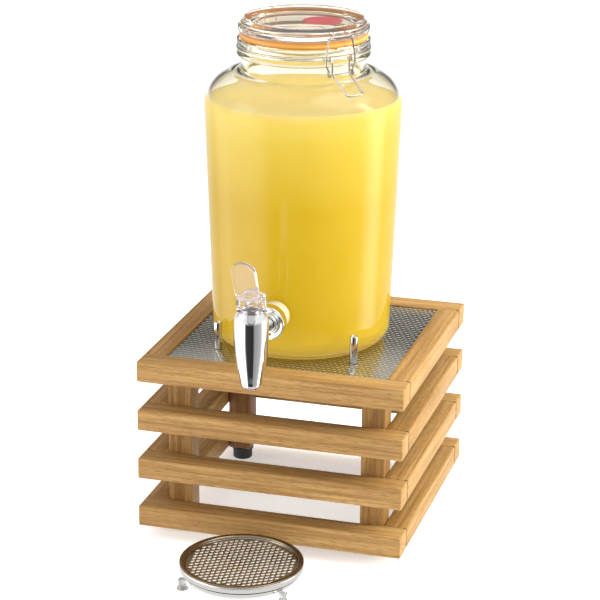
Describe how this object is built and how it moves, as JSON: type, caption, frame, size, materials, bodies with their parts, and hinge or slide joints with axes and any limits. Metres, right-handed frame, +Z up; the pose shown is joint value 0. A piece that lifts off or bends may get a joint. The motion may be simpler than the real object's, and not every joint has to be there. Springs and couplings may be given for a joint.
{
  "type": "glass beverage dispenser",
  "caption": "Clip-top glass jar with a lever tap, standing on a slatted wooden stand, with a round drip tray in front.",
  "frame": {"origin": "on the floor, under the middle of the stand and tray together", "axes": "+Z up, -Y towards the user, where the tap and the drip tray are; +X to the user's right"},
  "size_m": [0.3, 0.4406, 0.5723],
  "materials": {
    "oak": "oiled oak with fine straight grain",
    "stainless_steel": "textured or satin stainless sheet",
    "steel_wire": "drawn stainless wire",
    "chrome": "mirror polish",
    "clear_glass": "pressed clear glass",
    "clear_plastic": "clear moulded plastic",
    "grey_plastic": "moulded grey plastic",
    "black_rubber": "matt black rubber",
    "pale_rubber": "translucent pale silicone",
    "orange_rubber": "ribbed orange rubber"
  },
  "bodies": {
    "stand": {"front_slat_1": "oak", "rear_slat_1": "oak", "left_slat_1": "oak", "right_slat_1": "oak", "front_slat_2": "oak", "rear_slat_2": "oak", "left_slat_2": "oak", "right_slat_2": "oak", "front_slat_3": "oak", "rear_slat_3": "oak", "left_slat_3": "oak", "right_slat_3": "oak", "front_slat_4": "oak", "rear_slat_4": "oak", "left_slat_4": "oak", "right_slat_4": "oak", "front_left_post": "oak", "front_left_foot": "black_rubber", "front_left_pin": "stainless_steel", "front_right_post": "oak", "front_right_foot": "black_rubber", "front_right_pin": "stainless_steel", "rear_left_post": "oak", "rear_left_foot": "black_rubber", "rear_left_pin": "stainless_steel", "rear_right_post": "oak", "rear_right_foot": "black_rubber", "rear_right_pin": "stainless_steel", "top_plate": "stainless_steel"},
    "jar": {"glass_jar": "clear_glass", "neck_collar": "steel_wire", "outer_washer": "pale_rubber", "inner_washer": "pale_rubber", "lock_nut": "stainless_steel", "tap_flange": "chrome", "tap_shank": "chrome", "tap_barrel": "chrome", "bonnet_key": "grey_plastic", "tap_bonnet": "clear_plastic", "lever_pin": "stainless_steel"},
    "lid": {"lid_glass": "clear_glass", "lid_gasket": "orange_rubber", "lid_wire": "steel_wire"},
    "clasp_lever": {"clasp_lever": "steel_wire"},
    "clasp_loop": {"clasp_loop": "steel_wire"},
    "tap_lever": {"tap_lever": "clear_plastic"},
    "valve": {"tap_stem": "stainless_steel", "seat_cup": "black_rubber"},
    "drip_tray": {"tray_pan": "stainless_steel", "tray_foot_1": "clear_plastic", "tray_foot_2": "clear_plastic", "tray_foot_3": "clear_plastic"},
    "drip_grille": {"drip_grille": "stainless_steel"}
  },
  "joints": [
    {"name": "jar_lift", "type": "slide", "parent": "stand", "child": "jar", "axis": [0, 0, 1], "range_m": [0, 0.08]},
    {"name": "lid_hinge", "type": "hinge", "parent": "jar", "child": "lid", "pos_m": [-0.06348, 0.11835, 0.555], "axis": [-0.6756, -0.7373, 0], "range_deg": [0, 105]},
    {"name": "clasp_pivot", "type": "hinge", "parent": "jar", "child": "clasp_lever", "pos_m": [0.05124, 0.01323, 0.53905], "axis": [-0.6756, -0.7373, 0], "range_deg": [0, 110]},
    {"name": "loop_pivot", "type": "hinge", "parent": "clasp_lever", "child": "clasp_loop", "pos_m": [0.05124, 0.01323, 0.52405], "axis": [-0.6756, -0.7373, 0], "range_deg": [-128, 0]},
    {"name": "tap_lever_pivot", "type": "hinge", "parent": "jar", "child": "tap_lever", "pos_m": [-0.0045, -0.12429, 0.3126], "axis": [1, 0, 0], "range_deg": [0, 35]},
    {"name": "valve_lift", "type": "slide", "parent": "jar", "child": "valve", "axis": [0, 0, 1], "range_m": [0, 0.0031]},
    {"name": "tray_lift", "type": "slide", "parent": "stand", "child": "drip_tray", "axis": [0, 0, 1], "range_m": [0, 0.08]},
    {"name": "grille_lift", "type": "slide", "parent": "drip_tray", "child": "drip_grille", "axis": [0, 0, 1], "range_m": [0, 0.03]}
  ],
  "couplings": [
    {"joint": "loop_pivot", "follows": "clasp_pivot", "ratio": -1.15},
    {"joint": "valve_lift", "follows": "tap_lever_pivot", "m_per_rad": 0.0049}
  ]
}
